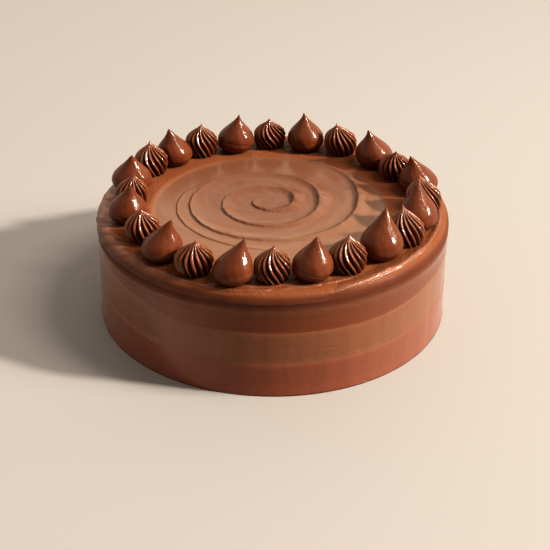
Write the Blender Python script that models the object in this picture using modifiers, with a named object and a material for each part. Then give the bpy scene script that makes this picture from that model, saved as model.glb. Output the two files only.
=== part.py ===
"""A whole round chocolate cake, frosted, with a ring of piped peaks on its rim.

Lengths are metres, angles are degrees in the named values, +Z is up.
The origin is the centre of the cake's flat underside.
"""
import math

import bmesh
import bpy

COLLECTION_NAME = "chocolate_cake"
MILLIMETRE = 0.001
JOIN_GAP = 0.0003
MERGE_DISTANCE = 0.00001
SHARP_ANGLE = 40.0

# Colours are linear red, green and blue
FROSTING_COLOUR = (0.160, 0.062, 0.034)
PIPED_PLAIN_COLOUR = (0.120, 0.042, 0.022)
PIPED_STARRED_COLOUR = (0.100, 0.034, 0.020)

# The frosted cake
FOOT_RADIUS = 0.100
LEDGE_HEIGHT = 0.0615
CAKE_STEPS = 72

# The rolled lip at the top of the wall. Each wave of its unevenness is a share
# of the whole, a count round the cake and a starting angle in radians.
SHOULDER_RADIUS = 0.0055
SHOULDER_POINTS = 5
LIP_RADIUS = 0.0998
LIP_FOOT_RADIUS = 0.0990
LIP_FOOT_HEIGHT = 0.0540
NECK_RADIUS = 0.0984
NECK_HEIGHT = 0.0505
LIP_WAVE_DROP = 0.0007
LIP_WAVE_INSET = 0.0005
LIP_LONG_WAVE = (0.6, 3, 0.8)
LIP_SHORT_WAVE = (0.4, 7, 2.1)

# The three broad bands left by the scraper below the lip
UPPER_BAND_FOOT = 0.0390
MIDDLE_BAND_FOOT = 0.0200
UPPER_BAND_RADIUS = 0.0986
MIDDLE_BAND_TOP_RADIUS = 0.0990
MIDDLE_BAND_FOOT_RADIUS = 0.0989
LOWER_BAND_TOP_RADIUS = 0.0993
BAND_STEP_HEIGHT = 0.0010

# The shallow round disc inside the ring of peaks, a little off centre
DISC_CENTRE = (-0.0020, -0.0015)
DISC_RADIUS = 0.0680
DISC_DEPTH = 0.0011
DISC_EDGE_WIDTH = 0.0030

# The spiral that a spatula leaves in the disc
SPIRAL_CENTRE = (-0.0035, 0.0088)
SPIRAL_START_ANGLE = 180.0
SPIRAL_RADII_STEP = 45.0
SPIRAL_RADII_MM = (7, 10.5, 13.5, 16, 15.5, 15.5, 15, 18, 24, 29.5, 33, 32.5, 30, 31.5, 33,
                   37.5, 43, 47.5, 49, 52, 52.5, 56.5, 57, 61, 66)
SIDE_RIDGE_START_ANGLE = 140.0
SIDE_RIDGE_RADII_STEP = 30.0
SIDE_RIDGE_RADII_MM = (38, 47.5, 53, 56, 58, 60)
SIDE_RIDGE_SCALE = 0.6
RIDGE_DEGREES_PER_POINT = 11.25
RIDGE_HEIGHT = 0.0012
RIDGE_SLOPE_WIDTH = 0.0115
RIDGE_DROP_WIDTH = 0.0010
RIDGE_ROOT_DEPTH = 0.0006
RIDGE_TAPER_POINTS = 9
RIDGE_TIP_SCALE = 0.15

# The ring of peaks, plain and starred by turns
FIRST_PEAK_ANGLE = 164.5
PEAK_SPACING = 15.0
PRESS_KNEE = 0.0010

DROP_WIDTH = 0.0220
DROP_HEIGHT = 0.0228
DROP_FOOT_SHARE = 0.60
DROP_WAIST_SHARE = 0.26
DROP_BELL_POWER = 1.15
DROP_STEPS = 16
DROP_RINGS = 9

STAR_WIDTH = 0.0202
STAR_HEIGHT = 0.0196
STAR_FOOT_SHARE = 0.80
STAR_WAIST_SHARE = 0.36
STAR_BELL_POWER = 1.30
STAR_RIDGES = 16
STAR_GROOVE_DEPTH = 0.17
STAR_SMOOTH_TIP_SHARE = 0.76
STAR_RINGS = 9

TIP_ROUNDNESS = 0.05
TIP_FULLNESS = 1.5
TIP_FULLNESS_POWER = 5
LEAN_POWER = 2.2

# Each peak in turn, clockwise from the left of the cake: how far it was piped
# off its place round the ring in degrees, its distance from the middle, where
# its tip leans to in x and y, all in millimetres, its height and width as shares
# of the usual ones, and last how full a plain one's tip is or by how many degrees
# a starred one's ridges twist.
PEAKS = (
    (0.6, 84.5, 1.0, -3.0, 0.95, 1.06, 1),
    (-0.4, 84.0, -0.5, 1.0, 1.00, 1.00, 65),
    (1.9, 81.7, -3.0, -2.0, 0.98, 0.98, 1),
    (2.7, 82.0, 0.0, -2.0, 1.04, 1.00, 70),
    (2.6, 79.0, 2.5, -1.0, 1.02, 1.02, 0.3),
    (2.0, 82.0, -0.5, -3.0, 0.97, 0.98, 85),
    (1.1, 80.3, -1.5, -1.0, 1.04, 1.02, 0.3),
    (0.8, 83.8, -3.5, -2.0, 1.00, 1.00, 40),
    (-2.5, 82.2, -5.0, -2.0, 1.01, 1.03, 0.6),
    (-1.5, 81.5, -0.5, -5.0, 0.95, 0.98, 40),
    (-1.2, 86.5, -6.0, -2.5, 1.00, 1.03, 0.8),
    (-1.7, 85.5, -4.0, 4.0, 1.02, 1.00, 60),
    (-1.1, 83.2, 0.0, 6.0, 1.07, 1.00, 1),
    (0.5, 83.5, -3.0, 4.0, 1.04, 0.98, 60),
    (0.4, 81.2, 2.5, 6.0, 1.12, 1.06, 1),
    (-0.7, 81.0, 0.8, 1.5, 1.00, 1.02, 80),
    (0.0, 82.0, 2.5, 1.0, 0.99, 1.00, 1),
    (0.5, 81.0, 1.0, 0.5, 0.96, 0.98, 75),
    (2.0, 86.5, 6.5, 2.5, 1.00, 0.98, 1),
    (1.9, 84.7, 1.5, -2.5, 0.98, 1.03, 40),
    (1.5, 84.0, 6.0, -0.5, 0.98, 1.00, 1),
    (0.5, 80.5, -0.5, -1.5, 0.98, 0.97, 40),
    (-1.7, 82.2, 2.5, -2.5, 0.98, 0.97, 1),
    (0.0, 80.0, 2.5, -1.0, 1.00, 0.94, 40),
)


def remove_startup_objects():
    for startup_object in list(bpy.data.objects):
        bpy.data.objects.remove(startup_object, do_unlink=True)


def make_material(name, colour, roughness):
    material = bpy.data.materials.new(name)
    material.use_nodes = True
    shader = material.node_tree.nodes["Principled BSDF"]
    shader.inputs["Base Color"].default_value = (*colour, 1.0)
    shader.inputs["Roughness"].default_value = roughness
    shader.inputs["Metallic"].default_value = 0.0
    return material


def evaluated_mesh(source):
    """Copy an object's mesh as its modifiers leave it."""
    depsgraph = bpy.context.evaluated_depsgraph_get()
    return bpy.data.meshes.new_from_object(source.evaluated_get(depsgraph), depsgraph=depsgraph)


def baked_object(source, name, collection):
    """Turn an object with modifiers, or a curve, into a plain welded mesh."""
    mesh = evaluated_mesh(source)
    welder = bmesh.new()
    welder.from_mesh(mesh)
    bmesh.ops.remove_doubles(welder, verts=welder.verts, dist=MERGE_DISTANCE)
    welder.to_mesh(mesh)
    welder.free()
    mesh.name = name
    baked = bpy.data.objects.new(name, mesh)
    baked.matrix_world = source.matrix_world
    collection.objects.link(baked)
    bpy.data.objects.remove(source, do_unlink=True)
    return baked


def turned(name, profile, steps, collection):
    """Turn a profile of (radius, height) points, listed top to bottom, about Z."""
    mesh = bpy.data.meshes.new(name + "_profile")
    points = [(radius, 0.0, height) for radius, height in profile]
    mesh.from_pydata(points, [(i, i + 1) for i in range(len(points) - 1)], [])
    outline = bpy.data.objects.new(name + "_outline", mesh)
    collection.objects.link(outline)
    screw = outline.modifiers.new("Turn", "SCREW")
    screw.steps = steps
    screw.render_steps = steps
    screw.use_merge_vertices = True
    screw.merge_threshold = MERGE_DISTANCE
    bpy.context.view_layer.update()
    return baked_object(outline, name, collection)


# The frosted cake

def shoulder_points():
    """The rounded upper edge, a quarter circle from the ledge to the lip."""
    centre_radius = LIP_RADIUS - SHOULDER_RADIUS
    centre_height = LEDGE_HEIGHT - SHOULDER_RADIUS
    points = []
    for i in range(SHOULDER_POINTS):
        angle = math.radians(90.0 * (1.0 - i / (SHOULDER_POINTS - 1)))
        points.append((centre_radius + SHOULDER_RADIUS * math.cos(angle),
                       centre_height + SHOULDER_RADIUS * math.sin(angle)))
    return points


def cake_profile():
    floor_height = LEDGE_HEIGHT - DISC_DEPTH
    top = [
        (0.0, floor_height),
        (DISC_RADIUS - DISC_EDGE_WIDTH, floor_height),
        (DISC_RADIUS, LEDGE_HEIGHT),
    ]
    wall = [
        (LIP_FOOT_RADIUS, LIP_FOOT_HEIGHT),
        (NECK_RADIUS, NECK_HEIGHT),
        (UPPER_BAND_RADIUS, UPPER_BAND_FOOT + BAND_STEP_HEIGHT),
        (MIDDLE_BAND_TOP_RADIUS, UPPER_BAND_FOOT),
        (MIDDLE_BAND_FOOT_RADIUS, MIDDLE_BAND_FOOT + BAND_STEP_HEIGHT),
        (LOWER_BAND_TOP_RADIUS, MIDDLE_BAND_FOOT),
        (FOOT_RADIUS, 0.0),
        (0.0, 0.0),
    ]
    return top + shoulder_points() + wall


def hand_wave(angle):
    """The slow rise and fall, from -1 to 1, of frosting smoothed by hand."""
    waves = (LIP_LONG_WAVE, LIP_SHORT_WAVE)
    return sum(share * math.sin(count * angle + start) for share, count, start in waves)


def make_lip_uneven(cake):
    """Let the lip wander a little, between the flat ledge and the upper band's foot."""
    ledge_edge = LIP_RADIUS - SHOULDER_RADIUS
    for vertex in cake.data.vertices:
        radius = math.hypot(vertex.co.x, vertex.co.y)
        above_band = (vertex.co.z - UPPER_BAND_FOOT) / (NECK_HEIGHT - UPPER_BAND_FOOT)
        past_ledge = (radius - ledge_edge) / SHOULDER_RADIUS
        weight = min(1.0, above_band, past_ledge)
        if weight <= 0.0:
            continue
        wave = 0.5 + 0.5 * hand_wave(math.atan2(vertex.co.y, vertex.co.x))
        shrink = 1.0 - LIP_WAVE_INSET * wave * weight / radius
        vertex.co.x *= shrink
        vertex.co.y *= shrink
        vertex.co.z -= LIP_WAVE_DROP * wave * weight


def move_disc_off_centre(cake):
    """Slide the disc and its edge inside the ledge, as the spatula left them."""
    for vertex in cake.data.vertices:
        on_top = vertex.co.z > NECK_HEIGHT
        if on_top and math.hypot(vertex.co.x, vertex.co.y) < DISC_RADIUS + MERGE_DISTANCE:
            vertex.co.x += DISC_CENTRE[0]
            vertex.co.y += DISC_CENTRE[1]


def smooth_between(values, position):
    """Read a list of values at a fractional position, along a smooth curve."""
    last = len(values) - 1
    index = min(int(position), last - 1)
    share = position - index
    before = values[max(index - 1, 0)]
    start = values[index]
    end = values[index + 1]
    after = values[min(index + 2, last)]
    return start + 0.5 * share * (
        end - before
        + share * (2 * before - 5 * start + 4 * end - after
                   + share * (3 * (start - end) + after - before)))


def ridge_section(collection):
    """The ridge's cross-section: a long rise outwards, then a short drop."""
    corners = (
        (-RIDGE_SLOPE_WIDTH, -RIDGE_ROOT_DEPTH),
        (0.0, RIDGE_HEIGHT),
        (RIDGE_DROP_WIDTH, -RIDGE_ROOT_DEPTH),
    )
    curve = bpy.data.curves.new("ridge_section", "CURVE")
    curve.dimensions = "2D"
    spline = curve.splines.new("POLY")
    spline.points.add(len(corners) - 1)
    for point, (across, height) in zip(spline.points, corners):
        point.co = (across, height, 0.0, 1.0)
    spline.use_cyclic_u = True
    section = bpy.data.objects.new("ridge_section", curve)
    collection.objects.link(section)
    return section


def make_ridge(name, start_angle, radii_mm, radii_step, scale, collection):
    """Sweep the ridge along a widening curve whose radii are given every few degrees."""
    section = ridge_section(collection)
    curve = bpy.data.curves.new(name + "_route", "CURVE")
    curve.dimensions = "3D"
    curve.twist_mode = "Z_UP"
    curve.bevel_mode = "OBJECT"
    curve.bevel_object = section
    curve.use_fill_caps = True
    sweep = radii_step * (len(radii_mm) - 1)
    steps = round(sweep / RIDGE_DEGREES_PER_POINT)
    spline = curve.splines.new("POLY")
    spline.points.add(steps)
    for i, point in enumerate(spline.points):
        turned_by = sweep * i / steps
        angle = math.radians(start_angle + turned_by)
        radius = smooth_between(radii_mm, turned_by / radii_step) * MILLIMETRE
        point.co = (SPIRAL_CENTRE[0] + radius * math.cos(angle),
                    SPIRAL_CENTRE[1] + radius * math.sin(angle),
                    LEDGE_HEIGHT - DISC_DEPTH, 1.0)
        steps_from_end = min(i, steps - i)
        taper = min(1.0, RIDGE_TIP_SCALE + steps_from_end / RIDGE_TAPER_POINTS)
        point.radius = scale * taper
    route = bpy.data.objects.new(name + "_route", curve)
    collection.objects.link(route)
    bpy.context.view_layer.update()
    ridge = baked_object(route, name, collection)
    bpy.data.objects.remove(section, do_unlink=True)
    return ridge


def make_cake(collection, material):
    body = turned("cake_body", cake_profile(), CAKE_STEPS, collection)
    make_lip_uneven(body)
    move_disc_off_centre(body)
    ridges = (
        make_ridge("spiral", SPIRAL_START_ANGLE, SPIRAL_RADII_MM,
                   SPIRAL_RADII_STEP, 1.0, collection),
        make_ridge("side_ridge", SIDE_RIDGE_START_ANGLE, SIDE_RIDGE_RADII_MM,
                   SIDE_RIDGE_RADII_STEP, SIDE_RIDGE_SCALE, collection),
    )
    for ridge in ridges:
        union = body.modifiers.new(ridge.name, "BOOLEAN")
        union.operation = "UNION"
        union.solver = "EXACT"
        # A ridge's wide slope crosses itself where the spiral bends most tightly
        union.use_self = True
        union.object = ridge
    bpy.context.view_layer.update()
    cake = baked_object(body, "cake", collection)
    for ridge in ridges:
        bpy.data.objects.remove(ridge, do_unlink=True)
    finish(cake, material)
    return cake


# The piped peaks

def bulb_radius(share, foot_share, waist_share, bell_power, tip_fullness):
    """Radius of a piped peak at a share of its height, as a share of its widest."""
    if share < waist_share:
        swell = math.sin(0.5 * math.pi * share / waist_share)
        return foot_share + (1.0 - foot_share) * swell
    above = (share - waist_share) / (1.0 - waist_share)
    bell = 0.5 + 0.5 * math.cos(math.pi * above ** bell_power)
    bell += TIP_FULLNESS * tip_fullness * above ** TIP_FULLNESS_POWER * (1.0 - above)
    return (1.0 - TIP_ROUNDNESS) * bell + TIP_ROUNDNESS * math.sqrt(1.0 - above)


def peak_profile(height, width, rings, *shares):
    points = [(0.0, height)]
    for i in range(1, rings + 1):
        share = 1.0 - i / rings
        # Rings crowd together near the sharp tip and the rounded foot
        share = 0.5 * (share + share * share * (3.0 - 2.0 * share))
        radius = 0.5 * width * bulb_radius(share, *shares)
        points.append((radius, share * height))
    points.append((0.0, 0.0))
    return points


def peak_place(index):
    """Centre of a peak on the ledge."""
    off_place, distance = PEAKS[index][:2]
    angle = math.radians(FIRST_PEAK_ANGLE - PEAK_SPACING * index + off_place)
    return (distance * MILLIMETRE * math.cos(angle), distance * MILLIMETRE * math.sin(angle))


def peak_width(index):
    usual = STAR_WIDTH if index % 2 else DROP_WIDTH
    return usual * PEAKS[index][5]


def pressed(x, y, index):
    """Flatten a peak softly where it would run into either of its neighbours."""
    own_x, own_y = peak_place(index)
    own_width = peak_width(index)
    for neighbour in (index - 1, (index + 1) % len(PEAKS)):
        other_x, other_y = peak_place(neighbour)
        distance = math.hypot(other_x - own_x, other_y - own_y)
        across_x = (other_x - own_x) / distance
        across_y = (other_y - own_y) / distance
        share = own_width / (own_width + peak_width(neighbour))
        limit = distance * share - 0.5 * JOIN_GAP
        reach = x * across_x + y * across_y
        over = reach - (limit - PRESS_KNEE)
        if over > 0.0:
            pulled_in = limit - PRESS_KNEE * math.exp(-over / PRESS_KNEE) - reach
            x += pulled_in * across_x
            y += pulled_in * across_y
    return x, y


def shape_peak(peak, index, height, ridges):
    """Lean a turned peak to its tip, with twisted ridges if it is a star."""
    lean_x, lean_y = (PEAKS[index][i] * MILLIMETRE for i in (2, 3))
    twist = math.radians(PEAKS[index][6])
    for vertex in peak.data.vertices:
        share = vertex.co.z / height
        radius = math.hypot(vertex.co.x, vertex.co.y)
        angle = math.atan2(vertex.co.y, vertex.co.x)
        if ridges:
            fade = min(1.0, (1.0 - share) / (1.0 - STAR_SMOOTH_TIP_SHARE))
            groove = 0.5 - 0.5 * math.cos(ridges * angle)
            radius *= 1.0 - STAR_GROOVE_DEPTH * fade * groove
            angle += twist * (1.0 - share)
        lean = share ** LEAN_POWER
        x = radius * math.cos(angle) + lean_x * lean
        y = radius * math.sin(angle) + lean_y * lean
        vertex.co.x, vertex.co.y = pressed(x, y, index)


def make_peak(index, collection, material):
    is_star = index % 2 == 1
    number = index // 2 + 1
    height_share = PEAKS[index][4]
    if is_star:
        name = f"star_{number:02d}"
        height = STAR_HEIGHT * height_share
        profile = peak_profile(height, peak_width(index), STAR_RINGS,
                               STAR_FOOT_SHARE, STAR_WAIST_SHARE, STAR_BELL_POWER, 0.0)
        peak = turned(name, profile, 2 * STAR_RIDGES, collection)
        shape_peak(peak, index, height, STAR_RIDGES)
    else:
        name = f"drop_{number:02d}"
        height = DROP_HEIGHT * height_share
        profile = peak_profile(height, peak_width(index), DROP_RINGS,
                               DROP_FOOT_SHARE, DROP_WAIST_SHARE, DROP_BELL_POWER,
                               PEAKS[index][6])
        peak = turned(name, profile, DROP_STEPS, collection)
        shape_peak(peak, index, height, 0)
    peak.location = (*peak_place(index), LEDGE_HEIGHT + JOIN_GAP)
    finish(peak, material)
    return peak


def finish(piece, material):
    piece.data.materials.clear()
    piece.data.materials.append(material)
    piece.data.shade_smooth()
    piece.data.set_sharp_from_angle(angle=math.radians(SHARP_ANGLE))


def main():
    remove_startup_objects()
    collection = bpy.data.collections.new(COLLECTION_NAME)
    bpy.context.scene.collection.children.link(collection)
    frosting = make_material("frosting", FROSTING_COLOUR, 0.40)
    piped_plain = make_material("piped_plain", PIPED_PLAIN_COLOUR, 0.25)
    piped_starred = make_material("piped_starred", PIPED_STARRED_COLOUR, 0.30)
    make_cake(collection, frosting)
    for index in range(len(PEAKS)):
        make_peak(index, collection, piped_starred if index % 2 else piped_plain)


main()
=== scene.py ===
"""The looks of a round chocolate cake: its frosting, piped peaks, light and camera.

Lengths are metres, angles are degrees in the named values, +Z is up.
"""
import math
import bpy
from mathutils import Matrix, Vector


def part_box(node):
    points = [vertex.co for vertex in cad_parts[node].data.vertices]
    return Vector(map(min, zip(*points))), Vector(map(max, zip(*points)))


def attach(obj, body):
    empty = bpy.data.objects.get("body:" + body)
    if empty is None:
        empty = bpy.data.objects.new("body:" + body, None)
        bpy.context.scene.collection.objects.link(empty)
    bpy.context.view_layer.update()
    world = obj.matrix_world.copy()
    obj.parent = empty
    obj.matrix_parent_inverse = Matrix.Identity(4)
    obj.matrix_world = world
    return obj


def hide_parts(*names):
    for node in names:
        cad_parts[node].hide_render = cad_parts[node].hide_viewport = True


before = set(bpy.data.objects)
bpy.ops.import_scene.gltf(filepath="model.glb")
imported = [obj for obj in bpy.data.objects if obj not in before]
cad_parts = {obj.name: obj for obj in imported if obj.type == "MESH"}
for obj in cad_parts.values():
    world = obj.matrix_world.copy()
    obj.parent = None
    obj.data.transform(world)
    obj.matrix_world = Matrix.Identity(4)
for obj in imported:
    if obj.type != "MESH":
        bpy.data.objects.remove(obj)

from types import SimpleNamespace

import bpy
import numpy as np
from mathutils import Matrix, Vector

MILLIMETRE = 0.001

# The camera, fitted to the photograph's frame of 550 by 550 pixels
IMAGE_SIZE = 550
FOCAL_LENGTH_PIXELS = 1317.0
SENSOR_WIDTH_MM = 36.0
CAMERA_TARGET = (0.0015, 0.0, 0.0157)
CAMERA_DISTANCE = 0.770
CAMERA_ELEVATION = 30.26
CAMERA_ROLL = 0.31
CAMERA_CLIP = (0.01, 20.0)

# The cake: its foot from its box, its middle, and the height of its ledge
CAKE_LOW, CAKE_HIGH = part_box("cake")
FOOT_RADIUS = 0.5 * (CAKE_HIGH.x - CAKE_LOW.x)
CAKE_MIDDLE = (0.0, 0.0)
LEDGE_HEIGHT = 0.0615

# The frosting's grids: steps round the cake and rings on each part of it
TOP_STEPS = 400
TOP_RINGS = 240
SIDE_STEPS = 640
RIM_RINGS = 64
LIP_RINGS = 6
BAND_RINGS = 6
BAND_EDGE_RINGS = 2
UNDERSIDE_RINGS = 3

# The rolled lip at the top of the wall
RIM_START = 0.0880
SHOULDER_RADIUS = 0.0055
LIP_RADIUS = 0.0998
LIP_TURNS = (30.0, 65.0)
LIP_FOOT_RADIUS = 0.0994
LIP_FOOT_HEIGHT = 0.0552
LIP_FOOT_SLANT = 0.0012
LIP_FOOT_LOWEST_ANGLE = 205.0
LIP_WAVE = 0.0004
LIP_INSET_WAVE = 0.0003

# The crease below the lip, deepest at the left and gone at the right
CREASE_MIDDLE_ANGLE = 205.0
CREASE_FADE = (20.0, 80.0)
CREASE_FOOT_DROP = 0.0080
NECK_DROP = 0.0030
NECK_RADIUS = 0.0990
SHALLOW_NECK_RADIUS = 0.0996

# Thin raised trails that the spatula left over the rim: places round the cake
# in degrees, how far out each lies there in millimetres along the rim, then its
# height and width, also in millimetres.
RIM_TRAILS = (
    ((-138, -116, -101, -91, -83, -71, -58), (7.4, 7.7, 8.2, 5.8, 4.2, 2.8, 2.6), 0.50, 0.90),
    ((-80, -70, -63, -56, -38, -20, 0), (12, 11, 9, 6.8, 6.3, 6.3, 6.5), 0.45, 0.90),
    ((-72, -63, -56, -38, -25), (10.8, 8.6, 7.0, 6.7, 6.7), 1.00, 1.60),
    ((-130, -112, -91, -70), (14.6, 14.5, 14.4, 14.2), 0.30, 0.60),
)
TRAIL_TAPER = 9.0
TRAIL_WANDER = 0.25
TRAIL_STRENGTH = 0.75
TRAIL_STRENGTH_WAVE = 0.5
TRAIL_INNER_SPREAD = 2.6

# Where the rim is rough, in degrees round the cake: it starts, is full, and fades out.
# Each set of lumps has how often it repeats, how fast it shifts along the rim, and its share.
ROUGH_RIM = (150.0, 175.0, 225.0, 250.0)
ROUGH_RIM_LUMPS = ((1.0, 250.0, 1.0), (2.0, 700.0, 0.6))
ROUGH_RIM_HEIGHT = 0.00024
ROUGH_RIM_LEAST = 0.15
ROUGH_RIM_INNER_PLACE = 0.0050

# The three broad bands below the lip: small real steps left by the scraper, with their edges where the
# painted reflections in their tints change, highest away from the front
FRONT_ANGLE = 276.0
UPPER_BAND_FOOT = 0.0384
UPPER_BAND_RISE = 0.0060
MIDDLE_BAND_FOOT = 0.0190
MIDDLE_BAND_RISE = 0.0030
BAND_RISE_TURNS = (25.0, 78.0)
BAND_WAVE = 0.0002
UPPER_BAND_RADIUS = 0.0991
MIDDLE_BAND_RADIUS = 0.0993
LOWER_BAND_RADIUS = 0.0995
FOOT_FLARE_HEIGHT = 0.0060
BAND_STEP_HEIGHT = 0.0006

# The band number that each part of the frosting carries for its colour, 0 on the ledge; the colours that
# it picks are painted light
LIP_BAND = 0.3
CREASE_BAND = 0.5
UPPER_BAND = 1.0
# How far towards the middle band's tint the upper band goes at the left, as painted sheen
UPPER_BAND_LEFT_PAINTED_SHEEN = 0.50
MIDDLE_BAND = 2.0
LOWER_BAND = 3.0

# The shallow round disc inside the ring of peaks, a little off centre
DISC_CENTRE = (-0.0020, -0.0015)
DISC_RADIUS = 0.0680
DISC_DEPTH = 0.0008
DISC_EDGE_WIDTH = 0.0040

# The spiral that a spatula leaves in the disc
SPIRAL_CENTRE = (-0.0035, 0.0088)
SPIRAL_START_ANGLE = 180.0
SPIRAL_RADII_STEP = 45.0
SPIRAL_RADII_MM = (7, 10.5, 13.5, 16, 15.5, 15.5, 15, 18, 24, 29.5, 33, 32.5, 30, 31.5, 33,
                   37.5, 43, 47.5, 49, 52, 52.5, 56.5, 57, 61, 66)
SIDE_RIDGE_START_ANGLE = 140.0
SIDE_RIDGE_RADII_STEP = 30.0
SIDE_RIDGE_RADII_MM = (38, 47.5, 53, 56, 58, 60)
SIDE_RIDGE_SCALE = 0.6
RIDGE_HEIGHT = 0.0010
RIDGE_SLOPE_WIDTH = 0.0085
RIDGE_SLOPE_POWER = 2.2
RIDGE_DROP_WIDTH = 0.0006
RIDGE_SOFT_DROP_WIDTH = 0.0085
RIDGE_SOFT_SLOPE_WIDTH = 0.0040
RIDGE_SOFT_ANGLE = 0.0
RIDGE_SOFT_POWER = 3
RIDGE_SOFT_RISE = 0.8
RIDGE_WANDER = 0.00028
RIDGE_TAPER_START = -10.0
RIDGE_TAPER_ANGLE = 45.0
RIDGE_UNEVENNESS = 0.30

# Unevenness as waves: how often each repeats in a turn, its share and where it starts
RAGGED_WAVES = ((23, 0.4, 0.0), (41, 0.3, 0.0), (67, 0.2, 0.0), (113, 0.1, 0.0))
HAND_WAVES = ((3, 0.5, 0.8), (7, 0.3, 2.1), (13, 0.2, 0.4))

# Seeds that make the edges and the peaks uneven in different ways
LIP_FOOT_SEED = 0.0
LIP_INSET_SEED = 1.0
UPPER_BAND_SEED = 2.0
MIDDLE_BAND_SEED = 4.0
TRAIL_STRENGTH_SEED = 2.0
PEAK_SEED_STEP = 2.0
PEAK_SEED_RISE = 4.0

# The ring of peaks, plain and starred by turns
FIRST_PEAK_ANGLE = 164.5
PEAK_SPACING = 15.0
PRESS_KNEE = 0.0010
JOIN_GAP = 0.0003
PEAK_SINK = 0.0005

DROP_WIDTH = 0.0220
DROP_HEIGHT = 0.0228
DROP_FOOT_SHARE = 0.60
DROP_WAIST_SHARE = 0.26
DROP_BELL_POWER = 1.15
DROP_STEPS = 96
DROP_RINGS = 56

STAR_WIDTH = 0.0202
STAR_HEIGHT = 0.0196
STAR_FOOT_SHARE = 0.80
STAR_WAIST_SHARE = 0.36
STAR_BELL_POWER = 1.30
STAR_RIDGES = 16
STAR_GROOVE_DEPTH = 0.20
STAR_CREST_POWER = 1.0
STAR_SMOOTH_TIP_SHARE = 0.76
STAR_STEPS_PER_RIDGE = 12
STAR_RINGS = 60

TIP_ROUNDNESS = 0.035
TIP_FULLNESS = 1.5
TIP_FULLNESS_POWER = 5
LEAN_POWER = 2.2
HAND_UNEVENNESS = 0.020
FOLD_SHARE = 0.24
FOLD_TILT = 0.12
FOLD_DEPTH = 0.022
FOLD_WIDTH = 0.030

# Each peak in turn, clockwise from the left of the cake: how far it was piped
# off its place round the ring in degrees, its distance from the middle, where
# its tip leans to in x and y, all in millimetres, its height and width as shares
# of the usual ones, and last how full a plain one's tip is or by how many degrees
# a starred one's ridges twist.
PEAKS = (
    (0.6, 84.5, 1.0, -3.0, 0.95, 1.06, 1),
    (-0.4, 84.0, -0.5, 1.0, 1.00, 1.00, 65),
    (1.9, 81.7, -3.0, -2.0, 0.98, 0.98, 1),
    (2.7, 82.0, 0.0, -2.0, 1.04, 1.00, 70),
    (2.6, 79.0, 2.5, -1.0, 1.02, 1.02, 0.3),
    (2.0, 82.0, -0.5, -3.0, 0.97, 0.98, 85),
    (1.1, 80.3, -1.5, -1.0, 1.04, 1.02, 0.3),
    (0.8, 83.8, -3.5, -2.0, 1.00, 1.00, 40),
    (-2.5, 82.2, -5.0, -2.0, 1.01, 1.03, 0.6),
    (-1.5, 81.5, -0.5, -5.0, 0.95, 0.98, 40),
    (-1.2, 86.5, -6.0, -2.5, 1.00, 1.03, 0.8),
    (-1.7, 85.5, -4.0, 4.0, 1.02, 1.00, 60),
    (-1.1, 83.2, 0.0, 6.0, 1.07, 1.00, 1),
    (0.5, 83.5, -3.0, 4.0, 1.04, 0.98, 60),
    (0.4, 81.2, 2.5, 6.0, 1.12, 1.06, 1),
    (-0.7, 81.0, 0.8, 1.5, 1.00, 1.02, 80),
    (0.0, 82.0, 2.5, 1.0, 0.99, 1.00, 1),
    (0.5, 81.0, 1.0, 0.5, 0.96, 0.98, 75),
    (2.0, 86.5, 6.5, 2.5, 1.00, 0.98, 1),
    (1.9, 84.7, 1.5, -2.5, 0.98, 1.03, 40),
    (1.5, 84.0, 6.0, -0.5, 0.98, 1.00, 1),
    (0.5, 80.5, -0.5, -1.5, 0.98, 0.97, 40),
    (-1.7, 82.2, 2.5, -2.5, 0.98, 0.97, 1),
    (0.0, 80.0, 2.5, -1.0, 1.00, 0.94, 40),
)

# Colours are linear red, green and blue
LEDGE_COLOUR = (0.210, 0.079, 0.037)
LEDGE_DARK = (0.184, 0.067, 0.030)
# The lip is darker than the ledge as painted shade
LIP_PAINTED_SHADE_COLOUR = (0.124, 0.044, 0.025)
# The crease under the lip is paler as a painted light line
CREASE_PAINTED_LIGHT_COLOUR = (0.190, 0.072, 0.038)
# The three bands' colours are painted reflections: dark at the top, paler in the middle and reddish at
# the foot
UPPER_BAND_PAINTED_REFLECTION = (0.170, 0.054, 0.023)
MIDDLE_BAND_PAINTED_REFLECTION = (0.222, 0.092, 0.048)
LOWER_BAND_PAINTED_REFLECTION = (0.235, 0.080, 0.045)
DISC_COLOUR = (0.163, 0.072, 0.041)
# A paler, greyer disc tone: painted sheen
DISC_PAINTED_SHEEN = (0.208, 0.108, 0.065)
# The dark of painted shade, in the pits and in streaks down the wall
PAINTED_SHADE_COLOUR = (0.060, 0.020, 0.010)
DROP_COLOUR = (0.145, 0.043, 0.017)
DROP_DARK = (0.115, 0.032, 0.012)
STAR_COLOUR = (0.215, 0.070, 0.028)
STAR_DARK = (0.165, 0.052, 0.020)
# The painted shade in the stars' grooves
STAR_GROOVE_PAINTED_SHADE = (0.022, 0.005, 0.002)

# Painted sheen on the disc: least round one point at the back, full further out
DISC_LEAST_SHEEN_POINT = (0.0, 0.030, LEDGE_HEIGHT)
DISC_SHEEN_RADII = (0.025, 0.080)
DISC_PATCH_SPREAD = 0.060

# Tints from the lip down, all painted light: shade on the lip, a light line in the crease and reflections
# in the bands; the band numbers where each starts and where it is full
BAND_PAINTED_TINTS = (
    (0.0, LIP_BAND, LIP_PAINTED_SHADE_COLOUR),
    (0.35, CREASE_BAND, CREASE_PAINTED_LIGHT_COLOUR),
    (0.6, UPPER_BAND, UPPER_BAND_PAINTED_REFLECTION),
    (1.2, 1.8, MIDDLE_BAND_PAINTED_REFLECTION),
    (2.2, 2.8, LOWER_BAND_PAINTED_REFLECTION),
)
# How far streaks down the wall darken, as painted shade standing in for streaky reflections
WALL_STREAK_PAINTED_SHADE = 0.14
# How far the pits darken, as painted shade
PIT_PAINTED_SHADE = 0.5

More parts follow.
